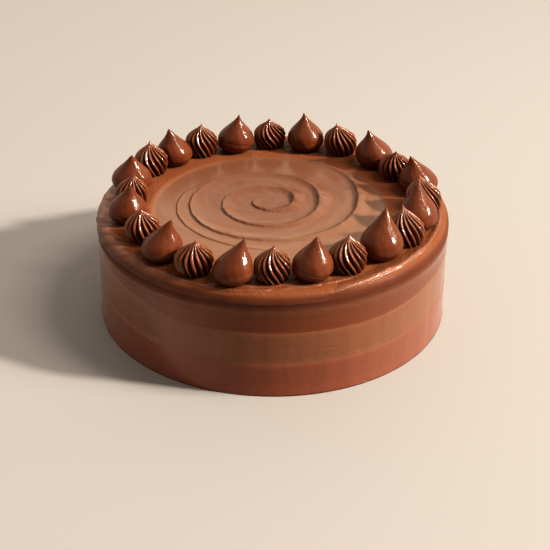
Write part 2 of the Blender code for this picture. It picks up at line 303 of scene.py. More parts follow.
# Roughness, and how far patches and streaks change it
WALL_ROUGHNESS = 0.52
LEDGE_ROUGHNESS = 0.50
DISC_ROUGHNESS = 0.48
DROP_ROUGHNESS = 0.55
STAR_ROUGHNESS = 0.42
PATCH_ROUGHNESS = 0.04
STREAK_ROUGHNESS = 0.03
PIPED_PATCH_ROUGHNESS = 0.05

# The glossy coat: its weight on each part, its roughness, and the height at which
# a trail is as glossy as can be
LEDGE_GLOSS = 0.08
EDGE_GLOSS = 0.05
SHOULDER_GLOSS = 0.0
ROUGH_RIM_GLOSS = 0.50
WALL_GLOSS = 0.95
WALL_FRONT_GLOSS = 0.12
WALL_GLOSS_TURNS = (2.0, 45.0)
TRAIL_GLOSS_HEIGHT = 0.0004
TOP_COAT_ROUGHNESS = 0.15
WALL_COAT_ROUGHNESS = 0.16
DISC_COAT = 0.15
DISC_STREAK_COAT = 0.50
DROP_COAT = 0.44
DROP_COAT_ROUGHNESS = 0.12
STAR_COAT = 1.00
STAR_GROOVE_COAT = 0.05
STAR_COAT_ROUGHNESS = 0.12

# Specular level of the surface under the coat
TOP_SPECULAR = 0.06
WALL_SPECULAR = 0.20
PIPED_SPECULAR = 0.10

# Noise patterns: repeats in a metre
PATCH_SCALE = 30.0
WIDE_PATCH_SCALE = 16.0
SMEAR_PATCH_SCALE = 60.0
SMEAR_SCALE = 650.0
GRAIN_SCALE = 900.0
RIPPLE_SCALE = 300.0
TRAIL_LUMP_SCALE = 800.0
PIPED_PATCH_SCALE = 120.0
PIPED_GRAIN_SCALE = 1100.0
PIPED_RIPPLE_SCALE = 300.0
STAR_LUMP_SCALE = 650.0

# How fine the noise patterns are
NOISE_DETAIL = 3.0
GRAIN_DETAIL = 4.0
STAR_LUMP_DETAIL = 1.0
NOISE_ROUGHNESS = 0.55

# Streaks drawn out round an axis: repeats along the circle, across it and up it, and detail
WALL_STREAKS = (2.0, 0.0, 260.0, 5.0)
UPRIGHT_STREAKS = (11.0, 0.0, 12.0, 3.0)
SCRATCHES = (7.0, 0.0, 520.0, 1.0)
DISC_STREAKS = (1.6, 210.0, 0.0, 4.0)

# The values of a pattern or a mask between which a mark fades in
PATTERN_RANGE = (0.3, 0.7)
SHADE_RANGE = (0.35, 0.65)
DISC_STREAK_RANGE = (0.40, 0.65)
SMEAR_RANGE = (0.52, 0.62)
SCRATCH_RANGE = (0.70, 0.73)
TRAIL_LUMP_RANGE = (0.3, 0.8)
GROOVE_SHADE_RANGE = (0.40, 0.92)
GROOVE_COAT_RANGE = (0.60, 0.95)

# Heights of the unevenness, in metres
GRAIN_HEIGHT = 0.00004
RIPPLE_HEIGHT = 0.00012
WALL_STREAK_HEIGHT = 0.00010
UPRIGHT_STREAK_HEIGHT = 0.00012
DISC_STREAK_HEIGHT = 0.00008
SMEAR_HEIGHT = 0.00060
SCRATCH_HEIGHT = 0.00012
TRAIL_LUMP_HEIGHT = 0.00060
PIPED_GRAIN_HEIGHT = 0.00006
PIPED_RIPPLE_HEIGHT = 0.00032
STAR_LUMP_HEIGHT = 0.00014

# Pits: cells in a metre, the share of cells with none, their size in a cell, and depth
PIT_SCALE = 190.0
PIT_SHARE_START = 0.75
PIT_SIZE = 0.12
PIT_DEPTH = 0.00020

# Light and stage
KEY_AZIMUTH = -10.0
KEY_ELEVATION = 32.0
KEY_ANGLE = 5.0
KEY_STRENGTH = 3.9
KEY_COLOUR = (1.0, 0.93, 0.82)
PANEL_DISTANCE = 1.5
# Name, elevation, width, height and power of each soft panel on the key's side
PANELS = (
    ("window", 31.0, 0.30, 0.30, 7.5),
    ("strip", 58.0, 0.18, 0.55, 10.0),
)
ROOM_BACK_COLOUR = (1.05, 0.96, 0.84)
ROOM_FRONT_COLOUR = (0.03, 0.025, 0.02)
ROOM_LEFT_COLOUR = (0.70, 0.63, 0.55)
ROOM_TOP_COLOUR = (0.50, 0.46, 0.41)
# How far towards the back, left and top each tint of the room starts and is full
ROOM_BACK_RANGE = (-0.1, 0.85)
ROOM_LEFT_RANGE = (-0.25, -0.85)
ROOM_TOP_RANGE = (0.45, 0.85)
STAGE_COLOUR = (0.335, 0.314, 0.302)
STAGE_ROUGHNESS = 0.8
STAGE_RADIUS = 20.0
STAGE_STEPS = 64


# Numbers and shapes shared by the pieces

def smooth_between(values, position):
    """Read a list of values at fractional positions, along a smooth curve."""
    values = np.asarray(values, float)
    last = len(values) - 1
    index = np.clip(np.floor(position).astype(int), 0, last - 1)
    share = position - index
    before = values[np.maximum(index - 1, 0)]
    start = values[index]
    end = values[index + 1]
    after = values[np.minimum(index + 2, last)]
    return start + 0.5 * share * (
        end - before
        + share * (2 * before - 5 * start + 4 * end - after
                   + share * (3 * (start - end) + after - before)))


def smooth_step(low, high, value):
    """Rise smoothly from 0 to 1 between two values."""
    share = np.clip((value - low) / (high - low), 0.0, 1.0)
    return share * share * (3.0 - 2.0 * share)


def sum_of_waves(waves, angle, seed):
    """Unevenness from -1 to 1 round the cake, the same for the same seed."""
    return sum(share * np.sin(repeats * angle + start + (number + 1) * seed)
               for number, (repeats, share, start) in enumerate(waves))


def ragged(angle, seed):
    """The quick unevenness of an edge of frosting."""
    return sum_of_waves(RAGGED_WAVES, angle, seed)


def hand_wave(angle, seed):
    """The slow rise and fall of frosting smoothed by hand."""
    return sum_of_waves(HAND_WAVES, angle, seed)


def turn_from(angle, middle_degrees):
    """Degrees from a direction, either way round."""
    return np.abs(np.mod(np.degrees(angle) - middle_degrees + 180.0, 360.0) - 180.0)


def mesh_object(name, points, faces):
    """A new smooth object in the scene."""
    mesh = bpy.data.meshes.new(name)
    mesh.from_pydata([tuple(point) for point in points], [], faces)
    mesh.shade_smooth()
    piece = bpy.data.objects.new(name, mesh)
    bpy.context.scene.collection.objects.link(piece)
    return piece


def ring_faces(rings, steps, top_pole=True, foot_pole=True):
    """Faces over rings of points from top to bottom, with a point before or after them or none."""
    corners = [(i, (i + 1) % steps) for i in range(steps)]
    start = 1 if top_pole else 0
    faces = [(0, 1 + a, 1 + b) for a, b in corners] if top_pole else []
    for ring in range(rings - 1):
        upper = start + ring * steps
        lower = upper + steps
        faces += [(upper + a, lower + a, lower + b, upper + b) for a, b in corners]
    if foot_pole:
        end = start + rings * steps
        lower = end - steps
        faces += [(lower + a, end, lower + b) for a, b in corners]
    return faces


def add_attribute(piece, name, values):
    """Give each point of a piece a value that its material reads."""
    attribute = piece.data.attributes.new(name, "FLOAT", "POINT")
    attribute.data.foreach_set("value", np.asarray(values, np.float32))


# The frosting

def ridge_rise(radius, angle, start_angle, radii_mm, radii_step):
    """Height of a swept ridge over the disc, at a place round the spiral's centre."""
    sweep = radii_step * (len(radii_mm) - 1)
    first_turn = np.mod(angle - start_angle, 360.0)
    rise = np.zeros_like(radius)
    facing = (0.5 + 0.5 * np.cos(np.radians(angle - RIDGE_SOFT_ANGLE))) ** RIDGE_SOFT_POWER
    drop_width = RIDGE_DROP_WIDTH * (1.0 - facing) + RIDGE_SOFT_DROP_WIDTH * facing
    slope_width = RIDGE_SLOPE_WIDTH * (1.0 - facing) + RIDGE_SOFT_SLOPE_WIDTH * facing
    for turn in range(int(sweep // 360.0) + 1):
        along = first_turn + 360.0 * turn
        crest = smooth_between(radii_mm, np.minimum(along, sweep) / radii_step) * MILLIMETRE
        crest = crest + RIDGE_WANDER * ragged(np.radians(along), start_angle)
        out = radius - crest
        slope = np.clip(1.0 + out / slope_width, 0.0, 1.0) ** RIDGE_SLOPE_POWER
        drop = 1.0 - smooth_step(0.0, drop_width, out)
        start_taper = smooth_step(RIDGE_TAPER_START, RIDGE_TAPER_ANGLE, along)
        end_taper = smooth_step(0.0, RIDGE_TAPER_ANGLE, sweep - along)
        uneven = 1.0 + RIDGE_UNEVENNESS * hand_wave(np.radians(along), start_angle)
        ridge = slope * drop * start_taper * end_taper * uneven * (1.0 + RIDGE_SOFT_RISE * facing)
        rise = np.maximum(rise, np.where(along <= sweep, ridge, 0.0))
    return rise


def top_height(x, y):
    """Height of the ledge, the disc and the spiral."""
    from_disc = np.hypot(x - DISC_CENTRE[0], y - DISC_CENTRE[1])
    inside = 1.0 - smooth_step(DISC_RADIUS - DISC_EDGE_WIDTH, DISC_RADIUS, from_disc)
    radius = np.hypot(x - SPIRAL_CENTRE[0], y - SPIRAL_CENTRE[1])
    angle = np.degrees(np.arctan2(y - SPIRAL_CENTRE[1], x - SPIRAL_CENTRE[0]))
    rise = np.maximum(
        ridge_rise(radius, angle, SPIRAL_START_ANGLE, SPIRAL_RADII_MM, SPIRAL_RADII_STEP),
        SIDE_RIDGE_SCALE * ridge_rise(radius, angle, SIDE_RIDGE_START_ANGLE,
                                      SIDE_RIDGE_RADII_MM, SIDE_RIDGE_RADII_STEP))
    return LEDGE_HEIGHT - DISC_DEPTH * inside + RIDGE_HEIGHT * rise * inside, inside


def trail_relief(angle, place):
    """Height of the spatula's trails at a place along the rim."""
    degrees = np.degrees(angle)
    relief = np.zeros_like(angle)
    for places_round, places_along, height, width in RIM_TRAILS:
        start, end = places_round[0], places_round[-1]
        around_cake = start + np.mod(degrees - start, 360.0)
        fade = (smooth_step(start, start + TRAIL_TAPER, around_cake)
                * smooth_step(end, end - TRAIL_TAPER, around_cake))
        along = np.interp(around_cake, places_round, places_along)
        along = along + TRAIL_WANDER * ragged(angle, height)
        off_trail = (place / MILLIMETRE - along) / width
        # The inner side of a trail falls off more gently than the outer
        off_trail = np.where(off_trail < 0.0, off_trail / TRAIL_INNER_SPREAD, off_trail)
        strength = TRAIL_STRENGTH + TRAIL_STRENGTH_WAVE * ragged(angle, TRAIL_STRENGTH_SEED + width)
        relief = relief + height * MILLIMETRE * fade * strength * np.exp(-off_trail ** 2)
    return relief


def rough_share(angle):
    """How rough the rim is round the cake, from 0 to 1."""
    degrees = np.mod(np.degrees(angle), 360.0)
    start, rough_start, rough_end, end = ROUGH_RIM
    return smooth_step(start, rough_start, degrees) * smooth_step(end, rough_end, degrees)


def rough_relief(angle, place):
    """Height of the broken, lumpy frosting on the rim at the left."""
    lumps = sum(share * ragged(repeats * angle, turning * place)
                for repeats, turning, share in ROUGH_RIM_LUMPS)
    height = ROUGH_RIM_HEIGHT * (ROUGH_RIM_LEAST + rough_share(angle))
    return height * lumps * smooth_step(0.0, ROUGH_RIM_INNER_PLACE, place)


def rim_rings(angle):
    """Rings over the edge of the ledge, the shoulder and the lip.

    Each ring has its radius, height, band number and gloss round the cake.
    """
    even = np.ones_like(angle)
    flat = LIP_RADIUS - SHOULDER_RADIUS - RIM_START
    length = flat + 0.5 * math.pi * SHOULDER_RADIUS
    rings = []
    for i in range(RIM_RINGS + 1):
        place = length * i / RIM_RINGS
        turn = max(0.0, place - flat) / SHOULDER_RADIUS
        radius = RIM_START + min(place, flat) + SHOULDER_RADIUS * math.sin(turn)
        height = LEDGE_HEIGHT - SHOULDER_RADIUS * (1.0 - math.cos(turn))
        trail = trail_relief(angle, place)
        relief = trail - lip_inset(angle) * math.sin(turn) + rough_relief(angle, place)
        plain_gloss = LEDGE_GLOSS + (EDGE_GLOSS - LEDGE_GLOSS) * min(place / flat, 1.0)
        plain_gloss += (SHOULDER_GLOSS - EDGE_GLOSS) * min(turn, 1.0)
        gloss = plain_gloss + trail / TRAIL_GLOSS_HEIGHT + ROUGH_RIM_GLOSS * rough_share(angle)
        band = LIP_BAND * float(smooth_step(*LIP_TURNS, math.degrees(turn)))
        rings.append((radius + relief * math.sin(turn), height + relief * math.cos(turn),
                      band * even, np.minimum(gloss, 1.0)))
    crease_inset = crease_share(angle) * (LIP_RADIUS - LIP_FOOT_RADIUS)
    return add_stretch(rings, LIP_RADIUS - lip_inset(angle) - crease_inset, lip_foot_height(angle),
                       LIP_BAND, SHOULDER_GLOSS, LIP_RINGS)


def add_stretch(rings, radius, height, band, gloss, count):
    """Carry rings on in even steps to a new radius and height."""
    from_radius, from_height, from_band = rings[-1][:3]
    stretch = []
    for i in range(1, count + 1):
        share = i / count
        stretch.append((from_radius + share * (radius - from_radius),
                        from_height + share * (height - from_height),
                        from_band + share * (band - from_band), gloss * np.ones_like(from_radius)))
    return rings + stretch


def crease_share(angle):
    """How deep the crease below the lip is: full at the left and gone at the right."""
    return 1.0 - smooth_step(*CREASE_FADE, turn_from(angle, CREASE_MIDDLE_ANGLE))


def lip_inset(angle):
    """How far the lip draws in round the cake."""
    return LIP_INSET_WAVE * (0.5 + 0.5 * hand_wave(angle, LIP_INSET_SEED))


def lip_foot_height(angle):
    """Height of the lip's lower edge round the cake."""
    return (LIP_FOOT_HEIGHT + LIP_WAVE * hand_wave(angle, LIP_FOOT_SEED)
            - LIP_FOOT_SLANT * np.cos(angle - math.radians(LIP_FOOT_LOWEST_ANGLE)))


def wall_rings(angle, lip_foot_ring):
    """Rings down the banded wall, from the foot of the lip to the middle of the underside."""
    even = np.ones_like(angle)
    lip_foot = lip_foot_height(angle)
    off_front = turn_from(angle, FRONT_ANGLE)
    rise = smooth_step(*BAND_RISE_TURNS, off_front)
    upper_foot = (UPPER_BAND_FOOT + UPPER_BAND_RISE * rise
                  + BAND_WAVE * hand_wave(angle, UPPER_BAND_SEED))
    middle_foot = (MIDDLE_BAND_FOOT + MIDDLE_BAND_RISE * rise
                   + BAND_WAVE * hand_wave(angle, MIDDLE_BAND_SEED))
    neck_radius = SHALLOW_NECK_RADIUS - crease_share(angle) * (SHALLOW_NECK_RADIUS - NECK_RADIUS)
    # Towards the left the upper band takes on more of the middle one's tone, as painted sheen
    upper_band = UPPER_BAND + UPPER_BAND_LEFT_PAINTED_SHEEN * crease_share(angle)
    to_sides = smooth_step(*WALL_GLOSS_TURNS, off_front)
    gloss = WALL_FRONT_GLOSS + (WALL_GLOSS - WALL_FRONT_GLOSS) * to_sides
    stretches = (
        (neck_radius, lip_foot - NECK_DROP, CREASE_BAND, SHOULDER_GLOSS, LIP_RINGS),
        (UPPER_BAND_RADIUS * even, lip_foot - CREASE_FOOT_DROP, upper_band, gloss, LIP_RINGS),
        (UPPER_BAND_RADIUS * even, upper_foot + BAND_STEP_HEIGHT, upper_band, gloss, BAND_RINGS),
        (MIDDLE_BAND_RADIUS * even, upper_foot, MIDDLE_BAND, gloss, BAND_EDGE_RINGS),
        (MIDDLE_BAND_RADIUS * even, middle_foot + BAND_STEP_HEIGHT, MIDDLE_BAND, gloss, BAND_RINGS),
        (LOWER_BAND_RADIUS * even, middle_foot, LOWER_BAND, gloss, BAND_EDGE_RINGS),
        (LOWER_BAND_RADIUS * even, FOOT_FLARE_HEIGHT * even, LOWER_BAND, gloss, BAND_RINGS),
        (FOOT_RADIUS * even, 0.0 * even, LOWER_BAND, gloss, BAND_RINGS),
        (FOOT_RADIUS / (UNDERSIDE_RINGS + 1) * even, 0.0 * even, LOWER_BAND, 0.0, UNDERSIDE_RINGS),
    )
    rings = [lip_foot_ring]
    for stretch in stretches:
        rings = add_stretch(rings, *stretch)
    return rings


def make_top(material):
    """The disc with its spiral and the inner part of the ledge."""
    turn = np.linspace(0.0, 2.0 * math.pi, TOP_STEPS, endpoint=False)
    cos_turn, sin_turn = np.cos(turn), np.sin(turn)
    # The grid runs from the spiral's centre out to a circle on the ledge
    across = SPIRAL_CENTRE[0] * cos_turn + SPIRAL_CENTRE[1] * sin_turn
    centre_squared = SPIRAL_CENTRE[0] ** 2 + SPIRAL_CENTRE[1] ** 2
    reach = -across + np.sqrt(across ** 2 + RIM_START ** 2 - centre_squared)
    share = np.arange(1, TOP_RINGS + 1)[:, None] / TOP_RINGS
    x = SPIRAL_CENTRE[0] + share * reach * cos_turn
    y = SPIRAL_CENTRE[1] + share * reach * sin_turn
    z, inside = top_height(x, y)
    middle_height = top_height(np.array([SPIRAL_CENTRE[0]]), np.array([SPIRAL_CENTRE[1]]))[0][0]
    points = np.concatenate([[(*SPIRAL_CENTRE, middle_height)],
                             np.stack([x, y, z], axis=-1).reshape(-1, 3)])
    top = mesh_object("frosting_top", points, ring_faces(TOP_RINGS, TOP_STEPS, foot_pole=False))
    add_attribute(top, "disc", np.concatenate([[1.0], inside.ravel()]))
    add_attribute(top, "band", np.zeros(len(points)))
    add_attribute(top, "gloss", np.full(len(points), LEDGE_GLOSS))
    dress_frosting(top, material)


def make_round(name, rings, turn, material, with_underside):
    """The rim or the wall from its rings."""
    radius, height, band, gloss = (np.stack([ring[i] for ring in rings]) for i in range(4))
    points = np.stack([radius * np.cos(turn), radius * np.sin(turn), height], axis=-1).reshape(-1, 3)
    band = band.ravel()
    gloss = gloss.ravel()
    if with_underside:
        points = np.concatenate([points, [(0.0, 0.0, 0.0)]])
        band = np.append(band, LOWER_BAND)
        gloss = np.append(gloss, 0.0)
    faces = ring_faces(len(rings), SIDE_STEPS, top_pole=False, foot_pole=with_underside)
    piece = mesh_object(name, points, faces)
    add_attribute(piece, "disc", np.zeros(len(points)))
    add_attribute(piece, "band", band)
    add_attribute(piece, "gloss", gloss)
    dress_frosting(piece, material)


def make_rim_and_wall(rim_material, wall_material):
    """The rim, and the wall below it, which starts from the rim's last ring."""
    turn = np.linspace(0.0, 2.0 * math.pi, SIDE_STEPS, endpoint=False)
    rim = rim_rings(turn)
    make_round("frosting_rim", rim, turn, rim_material, False)
    make_round("frosting_wall", wall_rings(turn, rim[-1]), turn, wall_material, True)


def dress_frosting(piece, material):
    """Finish a piece that stands for the cake's own solid."""
    piece.data.materials.append(material)
    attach(piece, "root")
    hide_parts("cake")


# The piped peaks

def bulb_radius(share, foot_share, waist_share, bell_power, tip_fullness):
    """Radius of a piped peak at a share of its height, as a share of its widest."""
    swell = np.sin(0.5 * math.pi * np.minimum(share / waist_share, 1.0))
    below = foot_share + (1.0 - foot_share) * swell
    above = np.clip((share - waist_share) / (1.0 - waist_share), 0.0, 1.0)
    bell = 0.5 + 0.5 * np.cos(math.pi * above ** bell_power)
    bell += TIP_FULLNESS * tip_fullness * above ** TIP_FULLNESS_POWER * (1.0 - above)
    upper = (1.0 - TIP_ROUNDNESS) * bell + TIP_ROUNDNESS * np.sqrt(1.0 - above)
    return np.where(share < waist_share, below, upper)


def peak_place(index):
    """Centre of a peak on the ledge."""
    off_place, distance = PEAKS[index][:2]
    angle = math.radians(FIRST_PEAK_ANGLE - PEAK_SPACING * index + off_place)
    return (distance * MILLIMETRE * math.cos(angle), distance * MILLIMETRE * math.sin(angle))


def peak_width(index):
    """Width of a peak at its widest."""
    usual = STAR_WIDTH if index % 2 else DROP_WIDTH
    return usual * PEAKS[index][5]


def pressed(x, y, index):
    """Flatten a peak softly where it would run into either of its neighbours."""
    own_x, own_y = peak_place(index)
    own_width = peak_width(index)
    for neighbour in (index - 1, (index + 1) % len(PEAKS)):
        other_x, other_y = peak_place(neighbour)
        distance = math.hypot(other_x - own_x, other_y - own_y)
        across_x = (other_x - own_x) / distance
        across_y = (other_y - own_y) / distance
        share = own_width / (own_width + peak_width(neighbour))
        limit = distance * share - 0.5 * JOIN_GAP
        reach = x * across_x + y * across_y
        over = np.maximum(reach - (limit - PRESS_KNEE), 0.0)
        pulled_in = np.where(over > 0.0,
                             limit - PRESS_KNEE * np.exp(-over / PRESS_KNEE) - reach, 0.0)
        x = x + pulled_in * across_x
        y = y + pulled_in * across_y
    return x, y


def peak_points(index, height, steps, rings, shares, ridges):
    """Points of a peak from its tip to its foot, and how deep in a groove each lies."""
    lean_x, lean_y = (PEAKS[index][i] * MILLIMETRE for i in (2, 3))
    width = peak_width(index)
    share = 1.0 - np.arange(1, rings + 1) / rings
    # Rings crowd together near the sharp tip and the rounded foot
    share = 0.5 * (share + share * share * (3.0 - 2.0 * share))
    share = np.repeat(share[:, None], steps, axis=1)
    angle = np.repeat(np.linspace(0.0, 2.0 * math.pi, steps, endpoint=False)[None, :], rings, axis=0)
    radius = 0.5 * width * bulb_radius(share, *shares)
    groove = np.zeros_like(share)
    seed = PEAK_SEED_STEP * index + PEAK_SEED_RISE * share
    radius = radius * (1.0 + HAND_UNEVENNESS * hand_wave(angle + index, seed))
    if ridges:
        fade = np.minimum(1.0, (1.0 - share) / (1.0 - STAR_SMOOTH_TIP_SHARE))
        crest = (0.5 + 0.5 * np.cos(ridges * angle)) ** STAR_CREST_POWER
        groove = fade * (1.0 - crest)
        radius = radius * (1.0 - STAR_GROOVE_DEPTH * groove)
        angle = angle + math.radians(PEAKS[index][6]) * (1.0 - share)
    else:
        # The slanted fold that the piping leaves above the foot
        fold_share = FOLD_SHARE + FOLD_TILT * np.cos(angle - index)
        radius = radius * (1.0 - FOLD_DEPTH * np.exp(-((share - fold_share) / FOLD_WIDTH) ** 2))
    lean = share ** LEAN_POWER
    x, y = pressed(radius * np.cos(angle) + lean_x * lean,
                   radius * np.sin(angle) + lean_y * lean, index)
    tip = (lean_x, lean_y, height)
    ring_points = np.stack([x, y, share * height], axis=-1).reshape(-1, 3)
    points = np.concatenate([[tip], ring_points, [(0.0, 0.0, 0.0)]])
    return points, np.concatenate([[0.0], groove.ravel(), [1.0]])


def make_peak(index, material):
    """A plain peak, or a starred one after it, at its place in the ring."""
    is_star = index % 2 == 1
    number = index // 2 + 1
    height_share = PEAKS[index][4]
    if is_star:
        node = f"star_{number:02d}"
        height = STAR_HEIGHT * height_share
        steps = STAR_RIDGES * STAR_STEPS_PER_RIDGE
        rings = STAR_RINGS
        shares = (STAR_FOOT_SHARE, STAR_WAIST_SHARE, STAR_BELL_POWER, 0.0)
        ridges = STAR_RIDGES
    else:
        node = f"drop_{number:02d}"
        height = DROP_HEIGHT * height_share
        steps = DROP_STEPS
        rings = DROP_RINGS
        shares = (DROP_FOOT_SHARE, DROP_WAIST_SHARE, DROP_BELL_POWER, PEAKS[index][6])
        ridges = 0
    points, groove = peak_points(index, height, steps, rings, shares, ridges)
    # The foot sinks a little into the frosting, and the tip stays where it is
    foot = LEDGE_HEIGHT - PEAK_SINK
    stretch = (height + JOIN_GAP + PEAK_SINK) / height
    points = points * (1.0, 1.0, stretch) + (*peak_place(index), foot)
    peak = mesh_object("piped_" + node, points, ring_faces(rings, steps))
    if is_star:
        add_attribute(peak, "groove", groove)
    peak.data.materials.append(material)
    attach(peak, "root")
    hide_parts(node)


# Materials

def new_material(name):
    """A material and its node tree, with a plain shader in it."""
    material = bpy.data.materials.new(name)
    material.use_nodes = True
    return material, material.node_tree


def feed(tree, socket, value):
    """Link a socket to another node's output, or set it to a plain value."""
    if isinstance(value, bpy.types.NodeSocket):
        tree.links.new(value, socket)
    elif isinstance(value, tuple) and len(value) == 3 and socket.type == "RGBA":
        socket.default_value = (*value, 1.0)
    else:
        socket.default_value = value


def calculate(tree, operation, first, second=0.0):
    """The result of one operation on numbers or node outputs."""
    node = tree.nodes.new("ShaderNodeMath")
    node.operation = operation
    for socket, value in zip(node.inputs, (first, second)):
        feed(tree, socket, value)
    return node.outputs[0]


def rescale(tree, value, from_low, from_high, to_low=0.0, to_high=1.0, smooth=False):
    """Bring one range of values to another, and hold it at the ends."""
    node = tree.nodes.new("ShaderNodeMapRange")
    node.interpolation_type = "SMOOTHSTEP" if smooth else "LINEAR"
    for name, item in (("Value", value), ("From Min", from_low), ("From Max", from_high),
                       ("To Min", to_low), ("To Max", to_high)):
        feed(tree, node.inputs[name], item)
    return node.outputs["Result"]


def mix_colours(tree, share, first, second):
    """Go from the first colour to the second as the share goes from 0 to 1."""
    node = tree.nodes.new("ShaderNodeMix")
    node.data_type = "RGBA"
    feed(tree, node.inputs["Factor"], share)
    feed(tree, node.inputs["A"], first)
    feed(tree, node.inputs["B"], second)
    return node.outputs["Result"]


def mottle(tree, place, scale, detail=NOISE_DETAIL):
    """A noise pattern from 0 to 1."""
    node = tree.nodes.new("ShaderNodeTexNoise")
    feed(tree, node.inputs["Vector"], place)
    feed(tree, node.inputs["Scale"], scale)
    feed(tree, node.inputs["Detail"], detail)
    feed(tree, node.inputs["Roughness"], NOISE_ROUGHNESS)
    return node.outputs["Fac"]


def pits(tree, place):
    """Small round pits, 1 at their middle and 0 between them, on part of the cells."""
    cells = tree.nodes.new("ShaderNodeTexVoronoi")
    feed(tree, cells.inputs["Vector"], place)
    feed(tree, cells.inputs["Scale"], PIT_SCALE)
    chosen = tree.nodes.new("ShaderNodeSeparateColor")
    tree.links.new(cells.outputs["Color"], chosen.inputs["Color"])
    reach = rescale(tree, chosen.outputs[0], PIT_SHARE_START, 1.0, 0.0, PIT_SIZE)
    depth = calculate(tree, "SUBTRACT", reach, cells.outputs["Distance"])
    return rescale(tree, depth, 0.0, PIT_SIZE, smooth=True)


def object_place(tree):
    """The place on a piece, in its own coordinates."""
    return tree.nodes.new("ShaderNodeTexCoord").outputs["Object"]


def distance_from(tree, place, centre):
    """How far a place is from a fixed point."""
    node = tree.nodes.new("ShaderNodeVectorMath")
    node.operation = "DISTANCE"
    feed(tree, node.inputs[0], place)
    node.inputs[1].default_value = centre
    return node.outputs["Value"]


def around(tree, place, centre, along_scale, across_scale, height_scale):
    """Coordinates that run round a vertical axis, for marks drawn out along a circle."""
    shift = tree.nodes.new("ShaderNodeVectorMath")
    shift.operation = "SUBTRACT"
    feed(tree, shift.inputs[0], place)
    shift.inputs[1].default_value = (*centre, 0.0)
    parts = tree.nodes.new("ShaderNodeSeparateXYZ")
    tree.links.new(shift.outputs[0], parts.inputs[0])
    x, y, z = parts.outputs
    squared = calculate(tree, "ADD", calculate(tree, "MULTIPLY", x, x), calculate(tree, "MULTIPLY", y, y))
    radius = calculate(tree, "SQRT", squared)
    direction = tree.nodes.new("ShaderNodeVectorMath")
    direction.operation = "NORMALIZE"
    flat = tree.nodes.new("ShaderNodeCombineXYZ")
    tree.links.new(x, flat.inputs[0])
    tree.links.new(y, flat.inputs[1])
    tree.links.new(flat.outputs[0], direction.inputs[0])
    stretched = tree.nodes.new("ShaderNodeVectorMath")
    stretched.operation = "SCALE"
    tree.links.new(direction.outputs[0], stretched.inputs[0])
    stretched.inputs["Scale"].default_value = along_scale
    offset = tree.nodes.new("ShaderNodeCombineXYZ")
    feed(tree, offset.inputs[0], calculate(tree, "MULTIPLY", radius, across_scale))
    feed(tree, offset.inputs[2], calculate(tree, "MULTIPLY", z, height_scale))
    total = tree.nodes.new("ShaderNodeVectorMath")
    total.operation = "ADD"
    tree.links.new(stretched.outputs[0], total.inputs[0])
    tree.links.new(offset.outputs[0], total.inputs[1])
    return total.outputs[0]


def streaks(tree, place, centre, along_scale, across_scale, height_scale, detail):
    """A noise pattern drawn out in circles round a vertical axis."""
    drawn_out = around(tree, place, centre, along_scale, across_scale, height_scale)
    return mottle(tree, drawn_out, 1.0, detail)


def surface_mask(tree, name):
    """A value that the surface carries, by its name."""
    node = tree.nodes.new("ShaderNodeAttribute")
    node.attribute_name = name
    return node.outputs["Fac"]


def total_of(tree, *values):
    """The sum of numbers or node outputs."""
    total = values[0]
    for value in values[1:]:
        total = calculate(tree, "ADD", total, value)
    return total


def set_bump(tree, shader, height):
    """Bump a surface by a height in metres."""
    bump = tree.nodes.new("ShaderNodeBump")
    bump.inputs["Strength"].default_value = 1.0
    bump.inputs["Distance"].default_value = 1.0
    feed(tree, bump.inputs["Height"], height)
    tree.links.new(bump.outputs["Normal"], shader.inputs["Normal"])
    tree.links.new(bump.outputs["Normal"], shader.inputs["Coat Normal"])


def times(tree, *values):
    """The product of numbers or node outputs."""
    product = values[0]
    for value in values[1:]:
        product = calculate(tree, "MULTIPLY", product, value)
    return product


def disc_tint_with_sheen(tree, place):
    """The disc's colour, with painted sheen away from one point and an uneven edge between the tones."""
    wide_patches = mottle(tree, place, WIDE_PATCH_SCALE)
    unevenness = rescale(tree, wide_patches, 0.0, 1.0, -0.5 * DISC_PATCH_SPREAD, 0.5 * DISC_PATCH_SPREAD)
    from_least_sheen = total_of(tree, distance_from(tree, place, DISC_LEAST_SHEEN_POINT), unevenness)
    painted_sheen = rescale(tree, from_least_sheen, *DISC_SHEEN_RADII, smooth=True)
    return mix_colours(tree, painted_sheen, DISC_COLOUR, DISC_PAINTED_SHEEN)


def frosting_marks(tree):
    """The masks and patterns that the frosting's colour, gloss and height share."""
    place = object_place(tree)
    disc = surface_mask(tree, "disc")
    band = surface_mask(tree, "band")
    on_wall = rescale(tree, band, 0.0, LIP_BAND)
    off_disc = calculate(tree, "SUBTRACT", 1.0, disc)
    on_ledge = times(tree, off_disc, calculate(tree, "SUBTRACT", 1.0, on_wall))
    return SimpleNamespace(
        place=place, disc=disc, band=band, on_wall=on_wall, off_disc=off_disc, on_ledge=on_ledge,
        gloss=surface_mask(tree, "gloss"),
        patches=mottle(tree, place, PATCH_SCALE),
        specks=pits(tree, place),
        upright_streaks=streaks(tree, place, CAKE_MIDDLE, *UPRIGHT_STREAKS),
        disc_streaks=streaks(tree, place, SPIRAL_CENTRE, *DISC_STREAKS))


